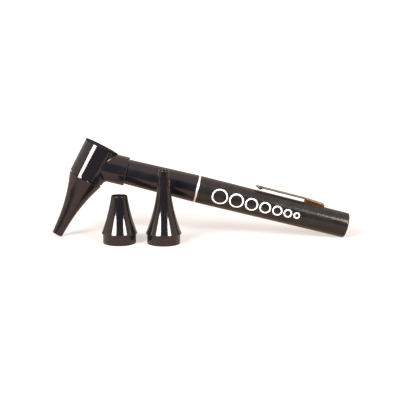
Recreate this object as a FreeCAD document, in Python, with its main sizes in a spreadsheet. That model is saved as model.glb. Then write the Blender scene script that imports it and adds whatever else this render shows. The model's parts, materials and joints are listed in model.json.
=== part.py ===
import FreeCAD, Part
import math
import os
import re
import Sketcher
from FreeCAD import Placement, Rotation, Vector

# Pen-type otoscope lying on its speculum tip and its tail, with two spare specula standing in
# front of it. Lengths are millimetres and angles degrees.
# Lengths along the handle count from the rear face of the head's neck collar towards the tail.
# Lengths along the head count from the point where the barrel's axis crosses the handle's.

handle_sizes = {
    "sleeve_front_dia": 13.2,
    "ring_dia": 14.45,
    "tail_dia": 13.2,
    "collar_seam": 0.1,
    "sleeve_length": 37.2,
    "ring_width": 1.1,
    "ring_play": 0.02,
    "handle_length": 119.0,
    "tail_rounding": 1.0,
    "edge_chamfer": 0.2,
    "cell_bore_dia": 11.3,
    "tail_wall": 2.0,
    "thread_length": 8.0,
    "thread_dia": 12.85,
    "fit_gap": 0.05,
    "spigot_length": 7.0,
    "spigot_dia": 10.6,
    "groove_front": 5.2,
    "groove_rear": 2.2,
    "groove_dia": 10.0,
    "grip_ring_dia": 11.9,
    "grip_ring_slot": 1.2,
}
lamp_sizes = {
    "lamp_bore_dia": 8.8,
    "lamp_bore_end": 15.0,
    "glass_dia": 4.2,
    "glass_front": 6.6,
    "flange_front": 1.0,
    "flange_rear": 0.4,
    "lamp_flange_dia": 6.0,
    "lamp_base_dia": 5.0,
    "lamp_base_end": 6.0,
    "holder_end": 6.5,
    "pellet_dia": 2.2,
    "pellet_end": 6.9,
    "insulator_front": 7.6,
    "pin_dia": 2.4,
    "pin_head_dia": 4.6,
    "pin_head_front": 21.6,
}
cell_sizes = {
    "cell_start": 22.5,
    "cell_length": 44.5,
    "cell_dia": 10.5,
    "cell_wrap": 0.12,
    "cell_shoulder": 0.8,
    "wrap_margin": 0.5,
    "nub_dia": 3.8,
    "nub_length": 1.0,
    "plate_thickness": 0.3,
    "plate_dia": 9.6,
    "insulator_thickness": 0.4,
    "tongue_width": 2.4,
    "tongue_low": 5.3,
    "tongue_high": 5.48,
    "tongue_overlap": 1.5,
    "spring_wire": 0.7,
    "spring_dia": 7.4,
    "spring_pitch": 1.25,
}
clip_sizes = {
    "clip_width": 5.0,
    "clip_sheet": 0.55,
    "clip_tail": 104.7,
    "clip_bend": 94.2,
    "clip_front": 67.3,
    "clip_height": 2.3,
    "clip_tail_height": 1.55,
    "clip_slit": 0.08,
    "clip_floor": 0.5,
    "clip_seat_gap": 0.02,
    "bead_radius": 2.35,
    "bead_gap": 0.6,
    "rivet_place": 99.6,
    "rivet_dia": 1.6,
    "rivet_head_dia": 2.8,
    "rivet_head": 0.45,
    "bush_dia": 3.0,
    "bush_end": 6.5,
    "stud_dia": 2.6,
    "stud_proud": 0.12,
}
head_sizes = {
    "head_angle": 103.5,
    "head_crossing": 18.0,
    "head_turned": 6.5,
    "barrel_dia": 18.5,
    "barrel_low": 8.3,
    "barrel_chamfer": 0.2,
    "barrel_high": 9.4,
    "bezel_high": 10.3,
    "bezel_edge": 0.25,
    "view_bore_dia": 14.6,
    "skirt_bore_dia": 17.0,
    "skirt_bore_high": 3.9,
    "lens_bore_dia": 16.0,
    "lens_bore_low": 5.2,
    "collar_dia": 15.3,
    "collar_chamfer": 0.35,
    "socket_dia": 12.0,
    "socket_depth": 7.3,
    "blend_top": 0.15,
    "blend_bottom": 2.2,
    "light_dia": 2.4,
    "light_offset": 5.7,
    "light_bend": 2.4,
    "light_low": 8.2,
    "light_start": 10.6,
    "bezel_opening_dia": 13.4,
    "bezel_skirt_dia": 15.9,
    "bezel_skirt_low": 5.6,
    "lip_low": 8.75,
    "lens_dia": 14.4,
    "lens_edge_low": 7.0,
    "lens_edge_high": 8.6,
    "lens_crown": 0.75,
    "retainer_bore_dia": 12.6,
}
speculum_sizes = {
    "skirt_dia": 16.9,
    "skirt_length": 5.0,
    "rim_dia": 18.2,
    "rim_top": 9.0,
    "rim_edge": 0.7,
    "cone_wall": 0.75,
    "cone_base_dia": 17.9,
    "cone_arc": 89.0,
    "bore_start": 6.6,
    "tip_wall": 0.5,
    "narrow_tip_dia": 5.4,
    "narrow_length": 32.8,
    "narrow_straight": 5.0,
    "narrow_straight_dia": 6.06,
    "wide_tip_dia": 8.2,
    "wide_length": 19.6,
    "wide_straight": 1.5,
    "wide_straight_dia": 8.66,
}
table_sizes = {
    "spare_row": 17.5,
    "wide_spare_place": -2.7,
    "narrow_spare_place": 19.9,
}

doc = FreeCAD.newDocument("otoscope")
sheet = doc.addObject("Spreadsheet::Sheet", "Dims")
sizes = {}
for group in (handle_sizes, lamp_sizes, cell_sizes, clip_sizes, head_sizes, speculum_sizes, table_sizes):
    sizes.update(group)
for row, (alias, number) in enumerate(sizes.items(), start=1):
    sheet.set("A%d" % row, alias)
    sheet.set("B%d" % row, str(number))
    sheet.setAlias("B%d" % row, alias)
doc.recompute()


def bound(text):
    """Expression text in which every alias, a word with an underscore, names its cell."""
    return re.sub(r"\b([a-z]+(?:_[a-z]+)+)\b", r"Dims.\1", text)


# ------------------------------------------------------------------ helpers for the geometry
def plane_of(body, role):
    for feature in body.Origin.OriginFeatures:
        if feature.Role == role:
            return feature
    raise RuntimeError("no plane " + role)


def new_sketch(body, name, role):
    sketch = body.newObject("Sketcher::SketchObject", name)
    sketch.AttachmentSupport = [(plane_of(body, role), "")]
    sketch.MapMode = "FlatFace"
    return sketch


def place_point(sketch, across, along, start):
    """A construction point held by its two distances from the sketch's origin."""
    point = sketch.addGeometry(Part.Point(start), True)
    for kind, text, axis in (("DistanceX", across, -2), ("DistanceY", along, -1)):
        if text == "0":
            sketch.addConstraint(Sketcher.Constraint("PointOnObject", point, 1, axis))
        else:
            index = sketch.addConstraint(Sketcher.Constraint(kind, -1, 1, point, 1, 1.0))
            sketch.setExpression("Constraints[%d]" % index, bound(text))


def draw_outline(sketch, corners, closed=True):
    """Sides between corners (across, along). A third and fourth entry give the radius of the
    side that leaves the corner and the hand it bows to: 1 for right of travel, -1 for left."""
    for number, corner in enumerate(corners):
        turn = 2 * math.pi * number / len(corners)
        place_point(sketch, corner[0], corner[1], Vector(3 + math.cos(turn), math.sin(turn), 0))
    doc.recompute()
    places = [Vector(p.X, p.Y, 0) for p in sketch.Geometry[:len(corners)]]
    sides = len(corners) if closed else len(corners) - 1
    for number in range(sides):
        follower = (number + 1) % len(corners)
        begin = places[number]
        end = places[follower]
        first, last = 1, 2
        if len(corners[number]) == 2:
            side = sketch.addGeometry(Part.LineSegment(begin, end))
        else:
            radius_text, hand = corners[number][2:]
            step = end - begin
            outward = Vector(step.y, -step.x, 0) * (0.1 * hand)
            side = sketch.addGeometry(Part.Arc(begin, (begin + end) * 0.5 + outward, end))
            if sketch.getPoint(side, 1).distanceToPoint(begin) > 1e-6:
                first, last = 2, 1
        sketch.addConstraint(Sketcher.Constraint("Coincident", side, first, number, 1))
        sketch.addConstraint(Sketcher.Constraint("Coincident", side, last, follower, 1))
        if len(corners[number]) > 2:
            index = sketch.addConstraint(Sketcher.Constraint("Radius", side, 1.0 * step.Length))
            sketch.setExpression("Constraints[%d]" % index, bound(radius_text))
    doc.recompute()


def draw_circle(sketch, across, along, diameter):
    place_point(sketch, across, along, Vector(3, 1, 0))
    doc.recompute()
    centre = Vector(sketch.Geometry[0].X, sketch.Geometry[0].Y, 0)
    circle = sketch.addGeometry(Part.Circle(centre, Vector(0, 0, 1), 1.0))
    sketch.addConstraint(Sketcher.Constraint("Coincident", circle, 3, 0, 1))
    index = sketch.addConstraint(Sketcher.Constraint("Diameter", circle, 2.0))
    sketch.setExpression("Constraints[%d]" % index, bound(diameter))
    doc.recompute()


def new_body(label):
    body = doc.addObject("PartDesign::Body", label)
    body.Label = label
    return body


def turn(body, name, corners, kind="PartDesign::Revolution"):
    """Turn an outline of (radius, height) corners about the body's Z axis."""
    sketch = new_sketch(body, name + "_outline", "XZ_Plane")
    draw_outline(sketch, corners)
    feature = body.newObject(kind, name)
    feature.Profile = sketch
    feature.ReferenceAxis = (sketch, ["V_Axis"])
    feature.Angle = 360
    doc.recompute()
    return feature


def slab(body, name, corners, width, kind="PartDesign::Pad"):
    """Extrude an outline of the XZ plane by half the width to each side."""
    sketch = new_sketch(body, name + "_outline", "XZ_Plane")
    draw_outline(sketch, corners)
    feature = body.newObject(kind, name)
    feature.Profile = sketch
    feature.Midplane = True
    feature.setExpression("Length", bound(width))
    doc.recompute()
    return feature


def drill(body, name, along, diameter, depth):
    """Cut a round hole from the body's axis out through its +X side."""
    before = body.Shape.Volume
    sketch = new_sketch(body, name + "_circle", "YZ_Plane")
    draw_circle(sketch, "0", along, diameter)
    feature = body.newObject("PartDesign::Pocket", name)
    feature.Profile = sketch
    feature.Reversed = True
    feature.setExpression("Length", bound(depth))
    doc.recompute()
    if body.Shape.Volume >= before:
        raise RuntimeError(name + " cuts nothing")
    return feature


def cylinder(name, diameter, low, high, neck=False):
    """A cylinder on the head's Z axis, or on the neck's axis, between two lengths along it."""
    tool = doc.addObject("Part::Cylinder", name)
    tool.setExpression("Radius", bound("(%s) / 2" % diameter))
    tool.setExpression("Height", bound("(%s) - (%s)" % (high, low)))
    if neck:
        tool.Placement = Placement(Vector(), Rotation(Vector(0, 1, 0), 1))
        tool.setExpression("Placement.Rotation.Angle", bound("180 - head_angle"))
        tool.setExpression("Placement.Base.x", bound("(%s) * %s" % (low, neck_sine)))
        tool.setExpression("Placement.Base.z", bound("(%s) * %s" % (low, neck_cosine)))
    else:
        tool.setExpression("Placement.Base.z", bound(low))
    return tool


def combine(kind, name, members):
    """Part::Cut of the first member by the second, or Part::MultiFuse of them all."""
    result = doc.addObject(kind, name)
    if kind == "Part::MultiFuse":
        result.Shapes = members
    else:
        result.Base, result.Tool = members
    doc.recompute()
    return result


neck_sine = "sin((180 - head_angle) * 1 deg)"
neck_cosine = "cos((180 - head_angle) * 1 deg)"
tube_front = "(sleeve_length + ring_width)"
tube_taper = "((ring_dia - tail_dia) / 2 / (handle_length - tail_rounding - %s))" % tube_front


def crown(along):
    """Radius of the tube's outside at a length along the handle."""
    return "(ring_dia / 2 - ((%s) - %s) * %s)" % (along, tube_front, tube_taper)


# ------------------------------------------------------------------ handle: tube and sleeve
def make_battery_tube():
    body = new_body("battery_tube")
    socket = "thread_dia / 2 + fit_gap"
    turn(body, "tube", [
        (socket, tube_front),
        ("ring_dia / 2 - edge_chamfer", tube_front),
        ("ring_dia / 2", tube_front + " + edge_chamfer"),
        ("tail_dia / 2", "handle_length - tail_rounding", "tail_rounding", 1),
        ("tail_dia / 2 - tail_rounding", "handle_length"),
        ("0", "handle_length"),
        ("0", "handle_length - tail_wall"),
        ("cell_bore_dia / 2", "handle_length - tail_wall"),
        ("cell_bore_dia / 2", tube_front + " + thread_length + edge_chamfer"),
        (socket, tube_front + " + thread_length + edge_chamfer"),
    ])
    drill(body, "rivet_hole", "rivet_place", "bush_dia", "ring_dia")
    drill(body, "stud_hole", "clip_front + clip_width / 2", "stud_dia", "ring_dia")
    return body


def make_centre_ring():
    body = new_body("centre_ring")
    bore = "thread_dia / 2 + fit_gap"
    turn(body, "ring", [
        (bore, "sleeve_length + ring_play"),
        ("ring_dia / 2 - edge_chamfer / 2", "sleeve_length + ring_play"),
        ("ring_dia / 2", "sleeve_length + ring_play + edge_chamfer / 2"),
        ("ring_dia / 2", tube_front + " - ring_play - edge_chamfer / 2"),
        ("ring_dia / 2 - edge_chamfer / 2", tube_front + " - ring_play"),
        (bore, tube_front + " - ring_play"),
    ])
    return body


def make_front_sleeve():
    body = new_body("front_sleeve")
    spigot = "spigot_dia / 2"
    thread_end = tube_front + " + thread_length"
    turn(body, "sleeve", [
        ("lamp_bore_dia / 2", "-spigot_length"),
        (spigot + " - edge_chamfer", "-spigot_length"),
        (spigot, "edge_chamfer - spigot_length"),
        (spigot, "-groove_front"),
        ("groove_dia / 2", "-groove_front"),
        ("groove_dia / 2", "-groove_rear"),
        (spigot, "-groove_rear"),
        (spigot, "collar_seam"),
        ("sleeve_front_dia / 2 - edge_chamfer", "collar_seam"),
        ("sleeve_front_dia / 2", "collar_seam + edge_chamfer"),
        ("ring_dia / 2", "sleeve_length - edge_chamfer"),
        ("ring_dia / 2 - edge_chamfer", "sleeve_length"),
        ("thread_dia / 2", "sleeve_length"),
        ("thread_dia / 2", thread_end + " - edge_chamfer"),
        ("thread_dia / 2 - edge_chamfer", thread_end),
        ("cell_bore_dia / 2", thread_end),
        ("cell_bore_dia / 2", "lamp_bore_end"),
        ("lamp_bore_dia / 2", "lamp_bore_end"),
    ])
    return body


def make_grip_ring():
    body = new_body("grip_ring")
    turn(body, "ring_band", [
        ("groove_dia / 2 + fit_gap", "fit_gap * 2 - groove_front"),
        ("grip_ring_dia / 2 - edge_chamfer", "fit_gap * 2 - groove_front"),
        ("grip_ring_dia / 2", "edge_chamfer + fit_gap * 2 - groove_front"),
        ("grip_ring_dia / 2", "-groove_rear - edge_chamfer - fit_gap * 2"),
        ("grip_ring_dia / 2 - edge_chamfer", "-groove_rear - fit_gap * 2"),
        ("groove_dia / 2 + fit_gap", "-groove_rear - fit_gap * 2"),
    ])
    before = body.Shape.Volume
    slab(body, "ring_slot", [
        ("groove_dia / 4", "-groove_front"),
        ("grip_ring_dia", "-groove_front"),
        ("grip_ring_dia", "-groove_rear"),
        ("groove_dia / 4", "-groove_rear"),
    ], "grip_ring_slot", "PartDesign::Pocket")
    if body.Shape.Volume >= before:
        raise RuntimeError("the grip ring has no slot")
    return body


# ------------------------------------------------------------------ lamp and its contacts
def make_lamp():
    glass = new_body("lamp_glass")
    glass_radius = "glass_dia / 2"
    turn(glass, "bulb", [
        ("0", "-glass_front", glass_radius, 1),
        (glass_radius, glass_radius + " - glass_front"),
        (glass_radius, "-flange_front"),
        ("0", "-flange_front"),
    ])
    base = new_body("lamp_base")
    turn(base, "screw_shell", [
        ("0", "-flange_front"),
        ("lamp_flange_dia / 2", "-flange_front"),
        ("lamp_flange_dia / 2", "-flange_rear"),
        ("lamp_base_dia / 2", "-flange_rear"),
        ("lamp_base_dia / 2", "lamp_base_end - edge_chamfer"),
        ("lamp_base_dia / 2 - edge_chamfer", "lamp_base_end"),
        ("0", "lamp_base_end"),
    ])
    pellet = new_body("lamp_pellet")
    turn(pellet, "solder_dot", [
        ("0", "lamp_base_end"),
        ("pellet_dia / 2", "lamp_base_end"),
        ("pellet_dia / 2 - edge_chamfer", "pellet_end"),
        ("0", "pellet_end"),
    ])
    holder = new_body("lamp_holder")
    turn(holder, "holder_bush", [
        ("lamp_base_dia / 2 + fit_gap", "-flange_rear"),
        ("lamp_bore_dia / 2 - fit_gap", "-flange_rear"),
        ("lamp_bore_dia / 2 - fit_gap", "holder_end"),
        ("lamp_base_dia / 2 + fit_gap", "holder_end"),
    ])
    return [glass, base, pellet, holder]


def make_positive_contact():
    pin = new_body("positive_pin")
    turn(pin, "pin", [
        ("0", "pellet_end"),
        ("pin_dia / 2 - edge_chamfer", "pellet_end"),
        ("pin_dia / 2", "pellet_end + edge_chamfer"),
        ("pin_dia / 2", "pin_head_front"),
        ("pin_head_dia / 2", "pin_head_front"),
        ("pin_head_dia / 2", "cell_start"),
        ("0", "cell_start"),
    ])
    insulator = new_body("pin_insulator")
    turn(insulator, "plug", [
        ("pin_dia / 2 + fit_gap", "insulator_front"),
        ("lamp_bore_dia / 2 - fit_gap", "insulator_front"),
        ("lamp_bore_dia / 2 - fit_gap", "lamp_bore_end"),
        ("cell_bore_dia / 2 - fit_gap", "lamp_bore_end"),
        ("cell_bore_dia / 2 - fit_gap", "pin_head_front"),
        ("pin_dia / 2 + fit_gap", "pin_head_front"),
    ])
    return [pin, insulator]


# ------------------------------------------------------------------ cells and tail contacts
def make_cell(name, front):
    """A cell with its positive nub at the given length, and the printed sleeve round it."""
    shoulder = "%s + nub_length" % front
    bottom = "%s + cell_length" % front
    can_radius = "cell_dia / 2 - cell_wrap"
    can = new_body(name)
    turn(can, name + "_can", [
        ("0", front),
        ("nub_dia / 2 - edge_chamfer", front),
        ("nub_dia / 2", front + " + edge_chamfer"),
        ("nub_dia / 2", shoulder),
        (can_radius + " - cell_shoulder", shoulder, "cell_shoulder", -1),
        (can_radius, shoulder + " + cell_shoulder"),
        (can_radius, bottom + " - edge_chamfer"),
        (can_radius + " - edge_chamfer", bottom),
        ("0", bottom),
    ])
    wrap = new_body(name + "_sleeve")
    wrap_front = shoulder + " + cell_shoulder"
    wrap_end = bottom + " - wrap_margin"
    turn(wrap, name + "_wrap", [
        (can_radius, wrap_front),
        ("cell_dia / 2", wrap_front),
        ("cell_dia / 2", wrap_end),
        (can_radius, wrap_end),
    ])
    return [can, wrap]


def make_tail_contacts():
    floor = "handle_length - tail_wall"
    plate_rear = floor + " - insulator_thickness"
    plate_front = plate_rear + " - plate_thickness"
    insulator = new_body("tail_insulator")
    turn(insulator, "disc", [
        ("0", plate_rear),
        ("cell_bore_dia / 2 - fit_gap", plate_rear),
        ("cell_bore_dia / 2 - fit_gap", floor),
        ("0", floor),
    ])
    contact = new_body("tail_contact")
    turn(contact, "plate", [
        ("0", plate_front),
        ("plate_dia / 2", plate_front),
        ("plate_dia / 2", plate_rear),
        ("0", plate_rear),
    ])
    tongue_end = "rivet_place - tongue_overlap"
    slab(contact, "tongue", [
        ("0", plate_rear),
        ("tongue_high", plate_rear),
        ("tongue_high", tongue_end),
        ("tongue_low", tongue_end),
        ("tongue_low", plate_front),
        ("0", plate_front),
    ], "tongue_width")
    spring = new_body("tail_spring")
    cell_bottom = "cell_start + 2 * cell_length"
    wire = new_sketch(spring, "wire_section", "XZ_Plane")
    draw_circle(wire, "spring_dia / 2", cell_bottom + " + spring_wire / 2", "spring_wire")
    coil = spring.newObject("PartDesign::AdditiveHelix", "coil")
    coil.Profile = wire
    coil.ReferenceAxis = (wire, ["V_Axis"])
    coil.Mode = 0
    coil.setExpression("Pitch", bound("spring_pitch"))
    coil.setExpression("Height", bound("%s - (%s) - spring_wire" % (plate_front, cell_bottom)))
    doc.recompute()
    return [insulator, contact, spring]


# ------------------------------------------------------------------ pocket clip and switch
def make_clip_root():
    body = new_body("clip_root")
    front_crown = crown("clip_bend")
    rear_crown = crown("clip_tail")
    slab(body, "channel", [
        (front_crown + " - clip_height / 2", "clip_bend"),
        (front_crown + " + clip_height", "clip_bend"),
        (rear_crown + " + clip_tail_height", "clip_tail"),
        (rear_crown + " - clip_height / 2", "clip_tail"),
    ], "clip_width")
    before = body.Shape.Volume
    turn(body, "saddle", [
        ("0", "clip_bend - clip_sheet"),
        (crown("clip_bend - clip_sheet") + " + clip_seat_gap", "clip_bend - clip_sheet"),
        (crown("clip_tail + clip_sheet") + " + clip_seat_gap", "clip_tail + clip_sheet"),
        ("0", "clip_tail + clip_sheet"),
    ], "PartDesign::Groove")
    slab(body, "hollow", [
        (front_crown + " + clip_floor", "clip_bend"),
        (front_crown + " + clip_height - clip_sheet", "clip_bend"),
        (rear_crown + " + clip_tail_height - clip_sheet", "clip_tail - clip_sheet"),
        (rear_crown + " + clip_floor", "clip_tail - clip_sheet"),
    ], "clip_width - 2 * clip_sheet", "PartDesign::Pocket")
    if body.Shape.Volume > 0.7 * before:
        raise RuntimeError("the clip root is not hollow")
    drill(body, "rivet_eye", "rivet_place", "rivet_dia + 2 * fit_gap",
          crown("rivet_place") + " + clip_floor + rivet_head / 2")
    return body


def make_clip_arm():
    """The strip lies along X with its top at z = 0, and its bead is pressed down at x = 0."""
    strip = doc.addObject("Part::Box", "strip")
    strip.setExpression("Length", bound("clip_bend - clip_slit - clip_front - clip_width / 2"))
    strip.setExpression("Width", bound("clip_width"))
    strip.setExpression("Height", bound("clip_sheet"))
    strip.setExpression("Placement.Base.y", bound("-clip_width / 2"))
    strip.setExpression("Placement.Base.z", bound("-clip_sheet"))
    nose = cylinder("strip_nose", "clip_width", "-clip_sheet", "0")
    bead_depth = "(clip_height - bead_gap - clip_sheet)"
    ball_radius = "((bead_radius ^ 2 + %s ^ 2) / (2 * %s))" % (bead_depth, bead_depth)
    ball_centre = "(%s - clip_sheet - %s)" % (ball_radius, bead_depth)
    balls = []
    for name, radius in (("bead", ball_radius), ("bead_hollow", ball_radius + " - clip_sheet")):
        ball = doc.addObject("Part::Sphere", name)
        ball.setExpression("Radius", bound(radius))
        ball.setExpression("Placement.Base.z", bound(ball_centre))
        balls.append(ball)
    below = cylinder("below_strip", "clip_width", "-clip_height", "-clip_sheet / 2")
    bulge = doc.addObject("Part::Common", "bulge")
    bulge.Base = balls[0]
    bulge.Tool = below
    pressed = combine("Part::MultiFuse", "pressed_strip", [strip, nose, bulge])
    arm = combine("Part::Cut", "clip_arm", [pressed, balls[1]])
    arm.Label = "clip_arm"
    return arm


def make_clip_fixings():
    rivet = doc.addObject("Part::MultiFuse", "clip_rivet")
    head_low = crown("rivet_place") + " + clip_floor + clip_seat_gap"
    rivet.Shapes = [
        cylinder("rivet_shank", "rivet_dia", "tongue_high", head_low),
        cylinder("rivet_cap", "rivet_head_dia", head_low, head_low + " + rivet_head"),
    ]
    rivet.Label = "clip_rivet"
    bush = doc.addObject("Part::Cut", "rivet_bush")
    bush.Base = cylinder("bush_outside", "bush_dia", "cell_bore_dia / 2", "bush_end")
    bush.Tool = cylinder("bush_bore", "rivet_dia", "cell_bore_dia / 4", "ring_dia")
    bush.Label = "rivet_bush"
    stud = doc.addObject("Part::Chamfer", "switch_stud")
    stud.Base = cylinder("stud_blank", "stud_dia", "cell_bore_dia / 2",
                         crown("clip_front + clip_width / 2") + " + stud_proud")
    doc.recompute()
    edges = enumerate(stud.Base.Shape.Edges, start=1)
    bevel = sizes["edge_chamfer"]
    stud.Edges = [
        (number, bevel, bevel) for number, edge in edges
        if edge.Closed and edge.CenterOfMass.z > sizes["cell_bore_dia"] / 2 + bevel
    ]
    stud.Label = "switch_stud"
    return [rivet, bush, stud]


# ------------------------------------------------------------------ head
def blended_head():
    """Barrel and neck collar, joined by a blend that widens from the rim down to the corner."""
    barrel = doc.addObject("Part::Chamfer", "bevelled_barrel")
    barrel.Base = cylinder("barrel", "barrel_dia", "-barrel_low", "bezel_high")
    doc.recompute()
    bevel = sizes["barrel_chamfer"]
    edges = enumerate(barrel.Base.Shape.Edges, start=1)
    barrel.Edges = [
        (number, bevel, bevel) for number, edge in edges
        if edge.Closed and edge.CenterOfMass.z < 0
    ]
    collar = doc.addObject("Part::Chamfer", "bevelled_collar")
    collar.Base = cylinder("collar", "collar_dia", "collar_dia / 4", "head_crossing", neck=True)
    doc.recompute()
    bevel = sizes["collar_chamfer"]
    edges = enumerate(collar.Base.Shape.Edges, start=1)
    collar.Edges = [
        (number, bevel, bevel) for number, edge in edges
        if edge.Closed and edge.CenterOfMass.x > sizes["barrel_dia"] / 2
    ]
    joined = combine("Part::MultiFuse", "head_blank", [barrel, collar])
    blend = doc.addObject("Part::Fillet", "neck_blend")
    blend.Base = joined
    radii = (sizes["blend_top"], sizes["blend_bottom"])
    seam = []
    for number, edge in enumerate(joined.Shape.Edges, start=1):
        if edge.Curve.TypeId == "Part::GeomBSplineCurve":
            starts_high = edge.Vertexes[0].Z > edge.Vertexes[-1].Z
            seam.append((number,) + (radii if starts_high else radii[::-1]))
    blend.Edges = seam
    doc.recompute()
    if blend.Shape.Volume <= joined.Shape.Volume:
        raise RuntimeError("the neck blend adds nothing")
    return blend


def make_head_housing():
    bores = [
        cylinder("bezel_room", "barrel_dia + 2 * fit_gap", "barrel_high", "2 * bezel_high"),
        cylinder("lens_bore", "lens_bore_dia", "lens_bore_low", "bezel_high"),
        cylinder("view_bore", "view_bore_dia", "-skirt_bore_high", "bezel_high"),
        cylinder("skirt_bore", "skirt_bore_dia", "-2 * barrel_low", "-skirt_bore_high"),
        cylinder("neck_socket", "socket_dia", "head_crossing - socket_depth",
                 "2 * head_crossing", neck=True),
        cylinder("light_bore", "light_dia + 2 * fit_gap", "view_bore_dia / 4",
                 "head_crossing", neck=True),
    ]
    housing = combine("Part::Cut", "head_housing", [blended_head(), combine(
        "Part::MultiFuse", "head_bores", bores)])
    housing.Label = "head_housing"
    return housing


def make_light_guide():
    """A clear rod along the neck's axis that bends down the inside of the barrel."""
    body = new_body("light_guide")
    foot = new_sketch(body, "rod_section", "XY_Plane")
    foot.setExpression("AttachmentOffset.Base.z", bound("-light_low"))
    draw_circle(foot, "light_offset", "0", "light_dia")
    corner = "light_offset / %s" % neck_sine
    corner_height = "light_offset / tan((180 - head_angle) * 1 deg)"
    setback = "light_bend * tan((180 - head_angle) / 2 * 1 deg)"
    path = new_sketch(body, "rod_path", "XZ_Plane")
    draw_outline(path, [
        ("light_offset", "-light_low"),
        ("light_offset", "%s - %s" % (corner_height, setback), "light_bend", -1),
        ("(%s + %s) * %s" % (corner, setback, neck_sine),
         "(%s + %s) * %s" % (corner, setback, neck_cosine)),
        ("light_start * " + neck_sine, "light_start * " + neck_cosine),
    ], closed=False)
    rod = body.newObject("PartDesign::AdditivePipe", "rod")
    rod.Profile = foot
    rod.Spine = (path, ["Edge1", "Edge2", "Edge3"])
    doc.recompute()
    return body


def make_lens_cap():
    bezel = new_body("lens_bezel")
    opening = "bezel_opening_dia / 2"
    lens_seat = "lens_dia / 2 + fit_gap"
    turn(bezel, "bezel", [
        (opening, "lip_low"),
        (opening, "bezel_high - bezel_edge"),
        (opening + " + bezel_edge", "bezel_high"),
        ("barrel_dia / 2 - bezel_edge", "bezel_high"),
        ("barrel_dia / 2", "bezel_high - bezel_edge"),
        ("barrel_dia / 2", "barrel_high"),
        ("bezel_skirt_dia / 2", "barrel_high"),
        ("bezel_skirt_dia / 2", "bezel_skirt_low"),
        (lens_seat, "bezel_skirt_low"),
        (lens_seat, "lip_low"),
    ])
    lens = new_body("magnifier_lens")
    face_radius = "((lens_dia / 2) ^ 2 + lens_crown ^ 2) / (2 * lens_crown)"
    turn(lens, "lens", [
        ("0", "lens_edge_low - lens_crown", face_radius, 1),
        ("lens_dia / 2", "lens_edge_low"),
        ("lens_dia / 2", "lens_edge_high", face_radius, 1),
        ("0", "lens_edge_high + lens_crown"),
    ])
    retainer = new_body("lens_retainer")
    turn(retainer, "retainer_band", [
        ("retainer_bore_dia / 2", "bezel_skirt_low + fit_gap"),
        ("lens_dia / 2", "bezel_skirt_low + fit_gap"),
        ("lens_dia / 2", "lens_edge_low - fit_gap"),
        ("retainer_bore_dia / 2", "lens_edge_low - edge_chamfer - fit_gap"),
    ])
    return [bezel, lens, retainer]


# ------------------------------------------------------------------ specula
def make_speculum(name, model):
    """A funnel standing on its skirt at z = 0. The model, narrow or wide, names its cells."""
    tip_radius = model + "_tip_dia / 2"
    straight_radius = model + "_straight_dia / 2"
    top = "(skirt_length + %s_length)" % model
    straight = "(%s - %s_straight)" % (top, model)
    rounding = "tip_wall / 2"
    body = new_body(name)
    turn(body, name + "_funnel", [
        ("skirt_dia / 2 - cone_wall", "0"),
        ("skirt_dia / 2", "0"),
        ("skirt_dia / 2", "skirt_length"),
        ("rim_dia / 2", "skirt_length"),
        ("rim_dia / 2", "skirt_length + rim_edge"),
        ("cone_base_dia / 2", "skirt_length + rim_edge", "cone_arc", -1),
        (straight_radius, straight),
        (tip_radius, top + " - tip_wall / 2", rounding, 1),
        (tip_radius + " - tip_wall / 2", top, rounding, 1),
        (tip_radius + " - tip_wall", top + " - tip_wall / 2"),
        (straight_radius + " - tip_wall", straight, "cone_arc", 1),
        ("skirt_dia / 2 - cone_wall", "bore_start"),
    ])
    return body


# ------------------------------------------------------------------ places
def resting_tilt():
    """Angle of the handle below level, and the height of its zero point, with the rounded tip
    of the speculum and the rounded corner of the tail both on the table."""
    bent = math.radians(sizes["head_angle"])
    turned = math.radians(sizes["head_turned"])
    tail_edge = sizes["tail_rounding"]
    tail_along = sizes["handle_length"] - tail_edge
    tail_down = sizes["tail_dia"] / 2 - tail_edge
    tip_edge = sizes["tip_wall"] / 2
    reach = sizes["rim_top"] + sizes["narrow_length"] - tip_edge
    offset = sizes["narrow_tip_dia"] / 2 - tip_edge
    lowest, highest = math.radians(5), math.radians(25)
    for _ in range(60):
        tilt = (lowest + highest) / 2
        height = tail_along * math.sin(tilt) + tail_down * math.cos(tilt) + tail_edge
        fall = math.sin(bent) * math.cos(turned) * math.cos(tilt) + math.cos(bent) * math.sin(tilt)
        tip = height + sizes["head_crossing"] * math.sin(tilt) - reach * fall
        clearance = tip - offset * math.sqrt(1 - fall ** 2) - tip_edge
        if clearance > 0:
            highest = tilt
        else:
            lowest = tilt
    return tilt, height


tilt, zero_height = resting_tilt()
tailward = Vector(math.cos(tilt), 0, -math.sin(tilt))
upward = Vector(math.sin(tilt), 0, math.cos(tilt))
zero_point = Vector(0, 0, zero_height)
handle_place = Placement(zero_point, Rotation(upward, Vector(0, -1, 0), tailward, "ZXY"))

head_lean = math.degrees(tilt) + sizes["head_angle"] - 90
head_turn = Rotation(tailward, -sizes["head_turned"])
head_point = zero_point - tailward * sizes["head_crossing"]
head_place = Placement(head_point, head_turn.multiply(Rotation(Vector(0, 1, 0), head_lean)))
barrel_up = head_place.Rotation.multVec(Vector(0, 0, 1))

taper = math.degrees(math.atan(
    (sizes["ring_dia"] - sizes["tail_dia"]) / 2
    / (sizes["handle_length"] - sizes["tail_rounding"] - sizes["sleeve_length"] - sizes["ring_width"])
))


def on_tube(along, above):
    """Point in the handle's plane at a length along it and a height above the tube's crown."""
    falling = (along - sizes["sleeve_length"] - sizes["ring_width"]) * math.tan(math.radians(taper))
    return zero_point + tailward * along + upward * (sizes["ring_dia"] / 2 - falling + above)


dimple_along = sizes["clip_front"] + sizes["clip_width"] / 2
clip_place = Placement(
    on_tube(dimple_along, sizes["clip_height"]),
    Rotation(Vector(0, 1, 0), math.degrees(tilt) + taper),
)


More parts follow.
